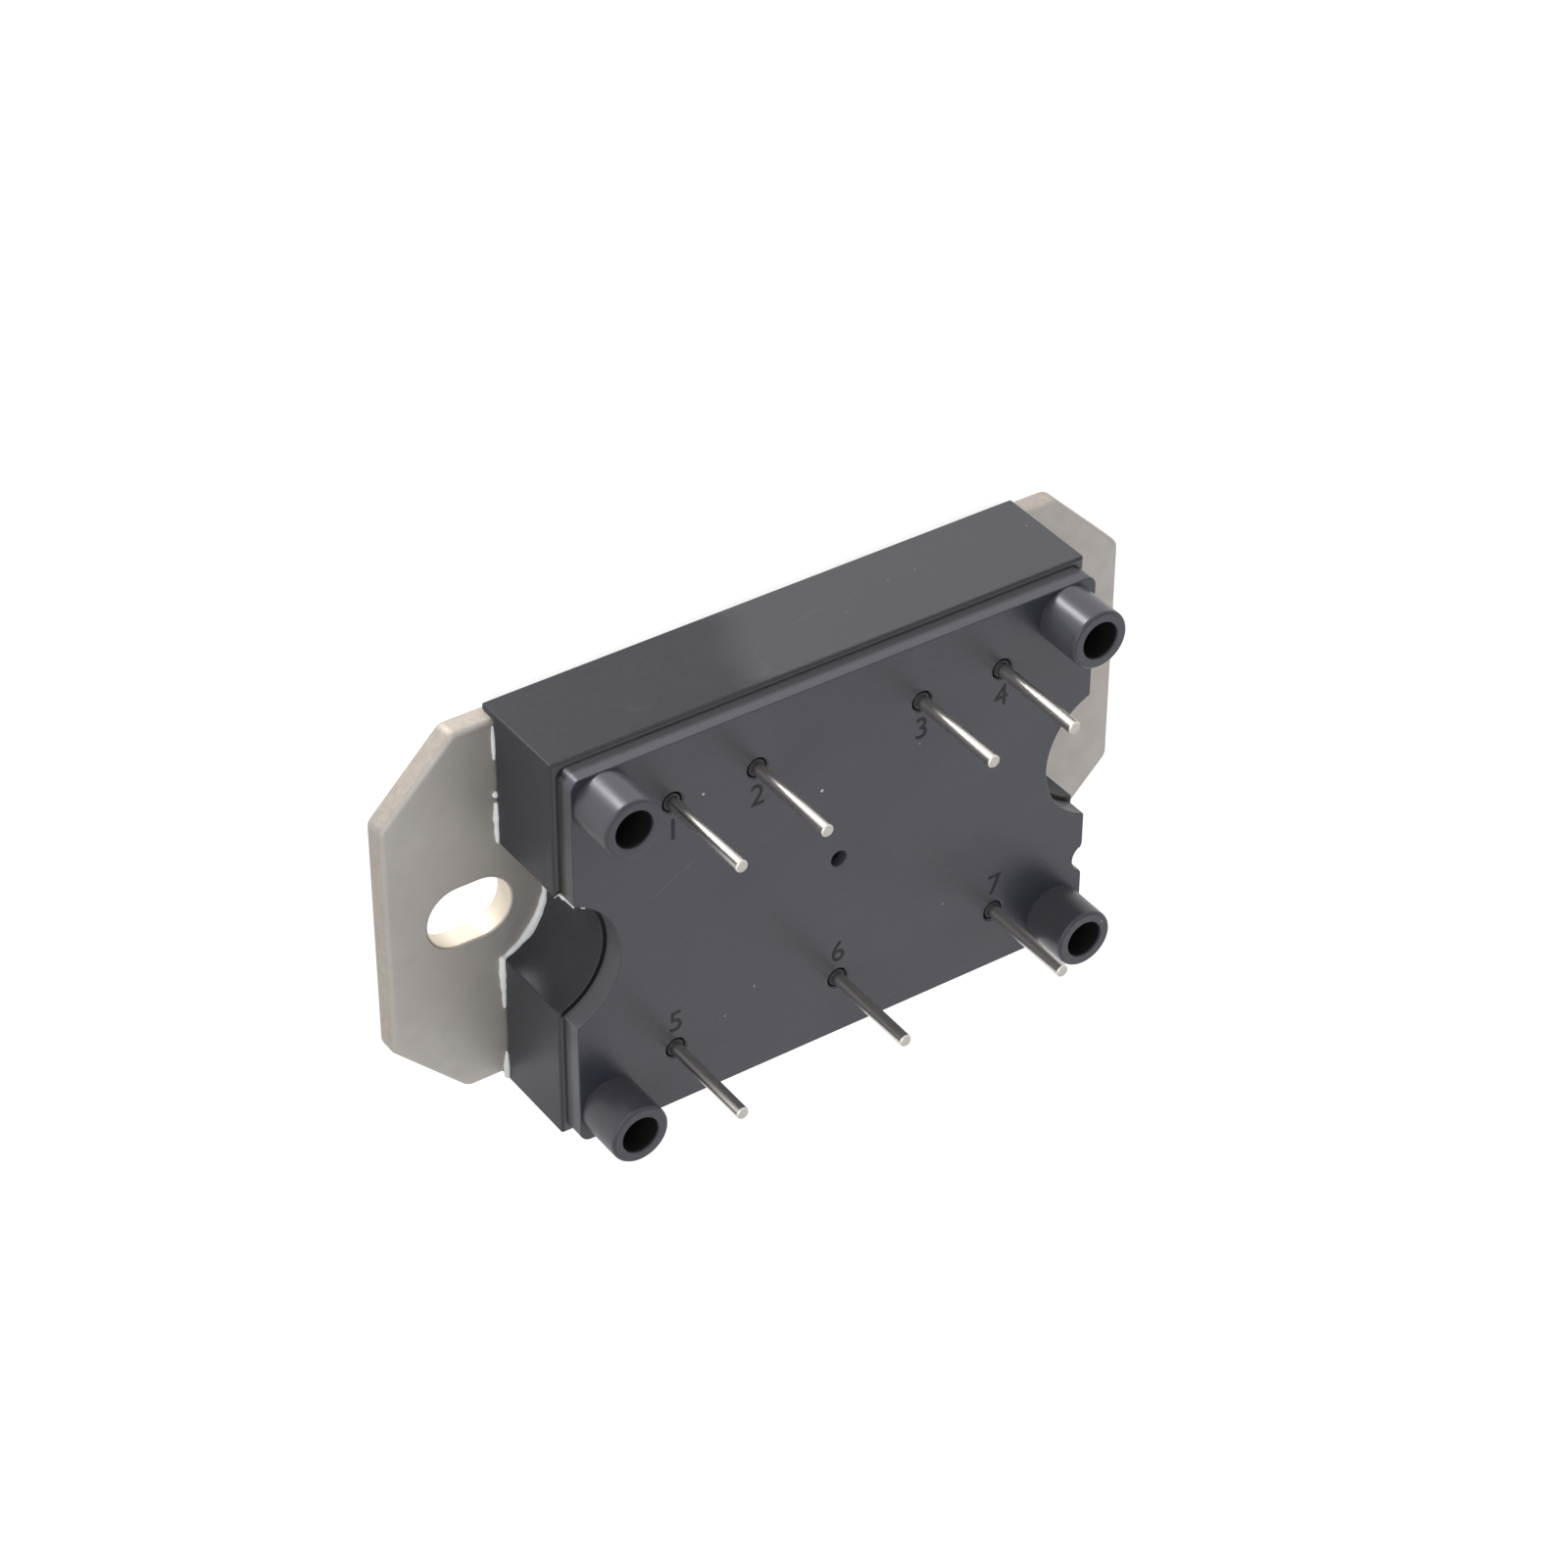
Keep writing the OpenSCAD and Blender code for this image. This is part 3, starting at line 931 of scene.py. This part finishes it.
@dataclass
class Housing:
    """The moulded frame and its lid, with the marks and burrs of moulding. Sizes are in millimetres.

    Args:
        turn: how far an edge turns at least to be rounded, in degrees.
        near: how far a point may be from a wall that it counts for.
        upright: height that an upright edge has at least.
        frame_top: height of the frame's rim.
        nick_y: where the keying nick is on the +X end.
        nick_box: depth of wall that holds the nick, and half its length.
        post_rim: radius outside which a post's outer rim lies.
        mark_size: size of the terminal numbers' type.
        mark_relief: how far the numbers stand up, and how far their edges are rounded.
        mark_shift: distance of a number's middle from its pin, towards the lid's middle.
        flash_runs: start, end, number of crumbs and thickness of each length of flash.
        flash_swing: how uneven each crumb is, as a share of its thickness, and in swings a metre.
    """

    turn: float = 38
    near: float = 0.02
    upright: float = 1.0
    frame_top: float = 9.5
    nick_y: float = -9.6
    nick_box: tuple[float, float] = (0.6, 1.6)
    post_rim: float = 2.0
    mark_size: float = 2.565
    mark_relief: tuple[float, float] = (0.012, 0.008)
    mark_shift: float = 2.4
    flash_runs: tuple[tuple[Point, Point, int, float], ...] = (
        ((-22.48, 5.24, 9.5), (-22.2, 5.4, 9.55), 4, 0.07),
        ((-22.15, 5.44, 9.7), (-22.15, 5.44, 10.6), 9, 0.15),
        ((-22.15, 5.44, 10.6), (-22.13, 5.42, 11.34), 7, 0.1),
        ((-21.5, 5.1, 11.34), (-21.25, 4.96, 11.34), 3, 0.08),
    )
    flash_swing: tuple[float, float] = (0.5, 9000)

    def build(self) -> None:
        """Builds the frame, the lid, the numbers and the burrs."""
        self.shell("housing_frame", "frame", FRAME, ((Edge.RIM, self.on_rim), (Edge.CORNER, self.on_corner)))
        self.shell("lid", "cover", LID, ((Edge.RUNOUT, self.on_nick), (Edge.RIM, self.on_post_top)))
        for terminal in TERMINALS:
            self.number(terminal)
        self.burrs()

    def shell(self, node: str, name: str, finish: Finish, rounder: Rounder) -> bpy.types.Object:
        """Copies a moulding and breaks its edges, some of them further than the rest.

        Args:
            node: the CAD node that is copied and replaced.
            name: the piece's name.
            finish: what it is dressed in.
            rounder: roundings with a test each for the edges that get them.

        Returns:
            The moulding.
        """
        mesh = node_copy(node)
        for edge, chosen in rounder:
            soften(mesh, [e for e in sharp_edges(mesh, self.turn) if chosen(*ends(e))], edge, 4)
        soften(mesh, sharp_edges(mesh, self.turn), Edge.MOULDED)
        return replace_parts(as_piece(mesh, name, finish), node)

    def on_rim(self, a: Vector, b: Vector) -> bool:
        """Tells whether an edge is on the outside of the frame's rim."""
        return min(a.z, b.z) > self.frame_top - 0.1 and self.on_wall(a) and self.on_wall(b)

    def on_corner(self, a: Vector, b: Vector) -> bool:
        """Tells whether an edge is an upright corner of the frame's outside."""
        return abs(a.z - b.z) > self.upright and self.on_wall(a) and self.on_wall(b)

    def on_wall(self, end: Vector) -> bool:
        """Tells whether a point is on one of the frame's four straight walls."""
        return abs(end.x) > HALF_L - self.near or abs(end.y) > HALF_W - self.near

    def on_nick(self, a: Vector, b: Vector) -> bool:
        """Tells whether an edge is an upright one of the keying nick's."""
        held = a.x > HALF_L - self.nick_box[0] and abs(a.y - self.nick_y) < self.nick_box[1]
        return held and abs(a.z - b.z) > self.upright

    def on_post_top(self, a: Vector, b: Vector) -> bool:
        """Tells whether an edge is the outer rim of a post's top."""
        on_top = min(a.z, b.z) >= POST_TOP - self.near
        return on_top and min(from_post(a), from_post(b)) > self.post_rim

    def number(self, terminal: Terminal) -> bpy.types.Object:
        """Raises one terminal number beside its pin.

        Args:
            terminal: the terminal.

        Returns:
            The number.
        """
        curve = bpy.data.curves.new("number_" + terminal.mark, "FONT")
        curve.body = terminal.mark
        curve.size = self.mark_size * MM
        curve.extrude, curve.bevel_depth = (size * MM for size in self.mark_relief)
        curve.align_x, curve.align_y = "CENTER", "CENTER"
        loose = bpy.data.objects.new("loose", curve)
        data = bpy.data.meshes.new_from_object(loose)
        bpy.data.objects.remove(loose)
        x, y = terminal.place
        spot = Vector((x, y - math.copysign(self.mark_shift, y), LID_TOP))
        data.transform(Matrix.Translation(spot * MM))
        mesh = bmesh.new()
        mesh.from_mesh(data)
        bmesh.ops.remove_doubles(mesh, verts=mesh.verts, dist=TINY)
        return as_piece(mesh, "terminal_number_" + terminal.mark, MARK)

    def burrs(self) -> bpy.types.Object:
        """Leaves a torn sliver of pale flash up one corner of the lid and along its notch.

        Returns:
            The flash.
        """
        rng = random.Random(7)
        noise.seed_set(7)  # without a seed noise_vector starts from the clock
        mesh = bmesh.new()
        for start, stop, count, thick in self.flash_runs:
            for i in range(count):
                spot = Vector(start).lerp(Vector(stop), (i + rng.uniform(-0.2, 0.2)) / (count - 1))
                size = thick * rng.uniform(0.6, 1.1)
                made = bmesh.ops.create_icosphere(mesh, subdivisions=2, radius=size * MM)
                for vert in made["verts"]:
                    swing = noise.noise_vector(vert.co * self.flash_swing[1] + spot)
                    vert.co += swing * size * self.flash_swing[0] * MM
                bmesh.ops.translate(mesh, vec=spot * MM, verts=made["verts"])
        return as_piece(mesh, "moulding_flash", SEAL, False)


@dataclass
class Terminals:
    """The seven soldered pins, turned from one profile.

    Args:
        profile: radius and height of each ring from the foot to the tip, in millimetres.
        steps: faces round a pin.
    """

    profile: tuple[tuple[float, float], ...] = (
        (0.0, 3.3),
        (1.12, 3.3),
        (1.2, 3.38),
        (1.2, 3.6),
        (1.1, 3.7),
        (0.78, 3.78),
        (0.7, 3.95),
        (0.7, 11.22),
        (0.67, 11.29),
        (0.53, 11.32),
        (0.5, 11.36),
        (0.5, 19.84),
        (0.485, 19.9),
        (0.44, 19.965),
        (0.38, 20.0),
        (0.0, 20.0),
    )
    steps: int = 48

    def build(self) -> None:
        """Builds each pin in its place."""
        for terminal in TERMINALS:
            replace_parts(self.pin(terminal), terminal.node)

    def pin(self, terminal: Terminal) -> bpy.types.Object:
        """Spins the profile into one pin.

        Args:
            terminal: the terminal.

        Returns:
            The pin.
        """
        mesh = bmesh.new()
        rings = [mesh.verts.new((r * MM, 0.0, z * MM)) for r, z in self.profile]
        line = [mesh.edges.new(pair) for pair in zip(rings, rings[1:])]
        bmesh.ops.spin(
            mesh,
            geom=rings + line,
            cent=(0, 0, 0),
            axis=(0, 0, 1),
            angle=math.tau,
            steps=self.steps,
            use_merge=True,
        )
        bmesh.ops.remove_doubles(mesh, verts=mesh.verts, dist=TINY)
        bmesh.ops.recalc_face_normals(mesh, faces=mesh.faces)
        bmesh.ops.translate(mesh, vec=Vector((*terminal.place, 0.0)) * MM, verts=mesh.verts)
        return as_piece(mesh, terminal.node + "_wire", PIN)


@dataclass
class AdhesiveSeal:
    """The film under the frame and the silicone squeezed out at its ends. Sizes are in millimetres.

    Args:
        film: thickness of the film.
        setback: how far the film stays inside the frame's walls.
        proud: how far the dabs' middles stand off the walls.
        dabs_at: start and end of each dab across the end wall, and its radius at both.
        pitch: distance of the balls that a dab is melted from.
        swell: how much thicker a dab is in its middle.
        bead_r: radius of the bead along a notch, and what its thickest place adds.
        bead_peak: where along the notch that place is and how far it spreads, as shares of the bead.
        bead_balls: number of balls in the bead.
        wobble: how uneven the radius of the balls is, as a share.
        lift: how far the balls are raised, and shifted at random.
        voxel: size of the grid that the balls are melted on.
        passes: how often the melted dabs are smoothed.
    """

    film: float = 0.2
    setback: float = 0.45
    proud: float = 0.02
    dabs_at: tuple[tuple[float, float, float, float], ...] = (
        (15.3, 12.5, 0.1, 0.14),
        (9.55, 9.35, 0.18, 0.22),
        (8.6, 5.4, 0.26, 0.18),
        (-5.25, -9.7, 0.36, 0.12),
        (-13.9, -16.1, 0.12, 0.34),
    )
    pitch: float = 0.12
    swell: float = 0.06
    bead_r: tuple[float, float] = (0.1, 0.34)
    bead_peak: tuple[float, float] = (0.74, 0.25)
    bead_balls: int = 100
    wobble: float = 0.35
    lift: float = 0.02
    voxel: float = 0.07
    passes: int = 4

    def build(self) -> None:
        """Builds the film and the dabs at both ends."""
        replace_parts(self.sheet(), "silicone_seal")
        self.dabs("silicone_dabs_left", -1, 3)
        self.dabs("silicone_dabs_right", 1, 8)

    def sheet(self) -> bpy.types.Object:
        """Makes the film from the frame's own underside, drawn in a little.

        Returns:
            The film.
        """
        mesh = node_copy("housing_frame")
        foot = (PLATE_TOP + self.film) * MM
        under = [f for f in mesh.faces if f.normal.z < -0.9 and abs(f.calc_center_median().z - foot) < 10 * MERGE]
        bmesh.ops.delete(mesh, geom=[f for f in mesh.faces if f not in under], context="FACES")
        for vert in mesh.verts:
            vert.co = self.drawn_in(vert.co / MM) * MM
        made = bmesh.ops.extrude_face_region(mesh, geom=mesh.faces[:])
        moved = [g for g in made["geom"] if isinstance(g, bmesh.types.BMVert)]
        bmesh.ops.translate(mesh, vec=(0, 0, -self.film * MM), verts=moved)
        bmesh.ops.recalc_face_normals(mesh, faces=mesh.faces)
        return as_piece(mesh, "silicone_film", SEAL)

    def drawn_in(self, spot: Vector) -> Vector:
        """Moves a point of the frame's outline in from its walls and its notches.

        Args:
            spot: the point, in millimetres.

        Returns:
            The point, at least the setback away from every outer wall.
        """
        x = min(abs(spot.x), HALF_L - self.setback)
        y = max(self.setback - HALF_W, min(HALF_W - self.setback, spot.y))
        away = Vector((x - NOTCH_X, y))
        if away.length < NOTCH_R + self.setback:
            x, y = Vector((NOTCH_X, 0)) + away.normalized() * (NOTCH_R + self.setback)
        return Vector((math.copysign(x, spot.x), y, spot.z))

    def path(self, side: int) -> list[tuple[Vector, float]]:
        """Lists the balls that the silicone along one end is melted from.

        Args:
            side: -1 for the end at -X, 1 for the other.

        Returns:
            Points on the plate with a radius each, in millimetres.
        """
        inset = NOTCH_X - HALF_L
        half_gap = math.sqrt(NOTCH_R**2 - inset**2)
        balls: list[tuple[Vector, float]] = []
        for start, stop, r_start, r_stop in self.dabs_at:
            count = max(2, round(abs(stop - start) / self.pitch))
            for i in range(count + 1):
                share = i / count
                radius = r_start + (r_stop - r_start) * share + math.sin(math.pi * share) ** 0.5 * self.swell
                y = start + (stop - start) * share
                y = math.copysign(max(half_gap, abs(y)), y)
                balls.append((Vector((side * (HALF_L + self.proud), y, PLATE_TOP)), radius))
        reach = math.atan2(half_gap, inset)
        arc = NOTCH_R - self.proud
        peak, spread = self.bead_peak
        for i in range(self.bead_balls):
            share = i / (self.bead_balls - 1)
            angle = reach * (1 - 2 * share)
            radius = self.bead_r[0] + self.bead_r[1] * math.exp(-(((share - peak) / spread) ** 2))
            x = NOTCH_X - arc * math.cos(angle)
            balls.append((Vector((side * x, arc * math.sin(angle), PLATE_TOP)), radius))
        return balls

    def dabs(self, name: str, side: int, seed: int) -> bpy.types.Object:
        """Melts a row of balls into one uneven bead and cuts it off at the plate.

        Args:
            name: the piece's name.
            side: which end it is on.
            seed: start of its unevenness.

        Returns:
            The bead.
        """
        rng = random.Random(seed)
        mesh = bmesh.new()
        for spot, radius in self.path(side):
            uneven = noise.noise(Vector((spot.x, spot.y, seed)) * 1.3)
            size = radius * (1 + self.wobble * uneven) * MM
            made = bmesh.ops.create_icosphere(mesh, subdivisions=2, radius=size)
            shift = Vector((rng.uniform(-self.lift, self.lift), 0, self.lift))
            bmesh.ops.translate(mesh, vec=(spot + shift) * MM, verts=made["verts"])
        piece = as_piece(mesh, name, SEAL, False)
        melt = piece.modifiers.new("melt", "REMESH")
        melt.mode = "VOXEL"
        melt.voxel_size = self.voxel * MM
        melt.use_smooth_shade = True
        bpy.context.view_layer.update()
        melted = bpy.data.meshes.new_from_object(piece.evaluated_get(bpy.context.evaluated_depsgraph_get()))
        piece.modifiers.clear()
        self.trim(melted, piece.data)
        piece.data.materials.clear()
        piece.data.materials.append(SEAL.material())
        return piece

    def trim(self, melted: bpy.types.Mesh, data: bpy.types.Mesh) -> None:
        """Smooths the melted balls and cuts them off at the plate.

        Args:
            melted: the mesh of the melted balls.
            data: the mesh that takes the result.
        """
        mesh = bmesh.new()
        mesh.from_mesh(melted)
        every = {"use_axis_x": True, "use_axis_y": True, "use_axis_z": True}
        for _ in range(self.passes):
            bmesh.ops.smooth_vert(mesh, verts=mesh.verts, factor=0.5, **every)
        level = Vector((0, 0, PLATE_TOP * MM))
        everything = mesh.verts[:] + mesh.edges[:] + mesh.faces[:]
        cut = bmesh.ops.bisect_plane(mesh, geom=everything, plane_co=level, plane_no=(0, 0, 1), clear_inner=True)
        bmesh.ops.holes_fill(mesh, edges=[g for g in cut["geom_cut"] if isinstance(g, bmesh.types.BMEdge)])
        for face in mesh.faces:
            face.smooth = True
        mesh.to_mesh(data)
        mesh.free()


@dataclass
class Circuit:
    """The circuit inside, which keeps its CAD shapes and gets its finishes."""

    def build(self) -> None:
        """Dresses every node of the circuit."""
        finishes = {
            "solder_layer": SOLDER,
            "substrate_copper": COPPER,
            "ceramic_substrate": CERAMIC,
            "track": COPPER,
            "clip": COPPER,
            "diode": SILICON,
            "gel_fill": FILL,
        }
        for name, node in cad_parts.items():
            for start, finish in finishes.items():
                if name.startswith(start):
                    finish.dress(node)
                    LOG.info("%s dressed in %s", name, finish.name)


# ---- The studio ----


@dataclass(frozen=True)
class Softbox:
    """A large soft lamp that faces the module.

    Args:
        name: the lamp's name.
        place: where it hangs, in metres.
        size: its two sides, in metres.
        power: its power, in watts.
    """

    name: str
    place: Point
    size: tuple[float, float]
    power: float

    def hang(self) -> bpy.types.Object:
        """Hangs the lamp, turned to the module's middle.

        Returns:
            The lamp.
        """
        data = bpy.data.lights.new(self.name, "AREA")
        data.shape = "RECTANGLE"
        data.size, data.size_y = self.size
        data.energy = self.power
        lamp = add_object(self.name, data)
        lamp.location = self.place
        lamp.visible_camera = False
        lamp.rotation_euler = (-Vector(self.place)).to_track_quat("-Z", "Y").to_euler()
        return lamp


@dataclass
class Studio:
    """The pale floor, the soft lamps, the white surroundings and the camera.

    Args:
        floor_half: half the floor's side, in metres.
        floor_drop: how far the floor is below the module, in metres.
        floor_glow: how much white the floor adds for the camera.
        sky: strength of the light from all round.
        lamps: the softboxes.
        eye: where the camera is, in metres.
        right: the direction to the picture's right.
        down: the direction to its foot.
        ahead: the direction in which the camera looks.
        focal: the lens's length as a share of the picture's width.
        sensor: width of the sensor, in millimetres.
    """

    floor_half: float = 4.0
    floor_drop: float = 0.00002
    floor_glow: float = 0.7
    sky: float = 0.66
    lamps: tuple[Softbox, ...] = (
        Softbox("key softbox", (-0.42, 0.16, 0.4), (0.45, 0.35), 0.8),
        Softbox("fill softbox", (0.3, -0.3, 0.45), (0.4, 0.4), 0.18),
        Softbox("low softbox", (-0.045, 0.172, -0.1), (0.045, 0.11), 0.3),
    )
    eye: Point = (-0.148211, 0.201212, 0.221314)
    right: Point = (0.82694, 0.00298, 0.56228)
    down: Point = (-0.33746, -0.79723, 0.50054)
    ahead: Point = (0.44976, -0.60366, -0.65826)
    focal: float = 2.92170625
    sensor: float = 36.0

    def build(self) -> None:
        """Sets up everything round the module."""
        for lamp in self.lamps:
            lamp.hang()
        self.floor()
        self.world()
        self.camera()
        bpy.context.scene.view_settings.view_transform = "Standard"

    def floor(self) -> bpy.types.Object:
        """Lays a pale floor that stays white round the module and keeps its shadow.

        Returns:
            The floor.
        """
        mesh = bmesh.new()
        bmesh.ops.create_grid(mesh, x_segments=1, y_segments=1, size=self.floor_half)
        bmesh.ops.translate(mesh, vec=(0, 0, -self.floor_drop), verts=mesh.verts)
        data = bpy.data.meshes.new("studio_floor")
        mesh.to_mesh(data)
        mesh.free()
        piece = add_object("studio_floor", data)
        data.materials.append(self.paper())
        return piece

    def paper(self) -> bpy.types.Material:
        """Makes the floor's pale paper, which lets the low lamp and mirrored rays through.

        Returns:
            The material.
        """
        made, graph = new_material("white paper")
        fibre = graph.ramp(graph.noise(900.0), 0.3, 0.7)
        shade = graph.blend(fibre, (0.62, 0.62, 0.62), (0.64, 0.64, 0.64))
        matt = graph.add("BsdfDiffuse", {"Color": shade}).outputs[0]
        rays = graph.add("LightPath").outputs
        strength = graph.times(rays["Is Camera Ray"], self.floor_glow)
        glow = graph.add("Emission", {"Color": (1, 1, 1, 1), "Strength": strength})
        lit = graph.add("AddShader", {0: matt, 1: glow.outputs[0]}).outputs[0]
        clear = graph.add("BsdfTransparent").outputs[0]
        below = graph.times(graph.add("NewGeometry").outputs["Backfacing"], rays["Is Camera Ray"])
        mirrored = graph.math("ADD", rays["Is Glossy Ray"], rays["Is Transmission Ray"], clamp=True)
        passed = graph.math("MAXIMUM", graph.math("MAXIMUM", mirrored, rays["Is Shadow Ray"]), below)
        both = graph.add("MixShader", {0: passed, 1: lit, 2: clear}).outputs[0]
        graph.add("OutputMaterial", {"Surface": both})
        return made

    def world(self) -> None:
        """Surrounds the module with even light that looks white."""
        world = bpy.data.worlds.new("studio")
        world.use_nodes = True
        graph = Graph(world.node_tree)
        rays = graph.add("LightPath").outputs
        seen = graph.math("ADD", rays["Is Camera Ray"], rays["Is Transmission Ray"], clamp=True)
        seen = graph.math("ADD", seen, rays["Is Glossy Ray"], clamp=True)
        strength = graph.ramp(seen, 0.0, 1.0, self.sky, 1.0)
        light = graph.add("Background", {"Color": (1, 1, 1, 1), "Strength": strength})
        graph.add("OutputWorld", {"Surface": light.outputs[0]})
        bpy.context.scene.world = world

    def camera(self) -> bpy.types.Object:
        """Sets the camera that looks down on the module's pins and its long side.

        Returns:
            The camera.
        """
        data = bpy.data.cameras.new("camera")
        data.sensor_fit, data.sensor_width = "HORIZONTAL", self.sensor
        data.lens = self.focal * self.sensor
        data.clip_start, data.clip_end = 0.01, 50.0
        eye = add_object("camera", data)
        turn = Matrix((self.right, -Vector(self.down), -Vector(self.ahead))).transposed().to_4x4()
        eye.matrix_world = Matrix.Translation(self.eye) @ turn
        bpy.context.scene.camera = eye
        return eye


def main() -> None:
    """Builds the module and its studio."""
    logging.basicConfig(level=logging.INFO, format="%(message)s")
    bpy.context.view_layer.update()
    for part in (BasePlate(), Housing(), Terminals(), AdhesiveSeal(), Circuit(), Studio()):
        LOG.info("building %s", type(part).__name__)
        part.build()


if __name__ == "__main__":
    main()
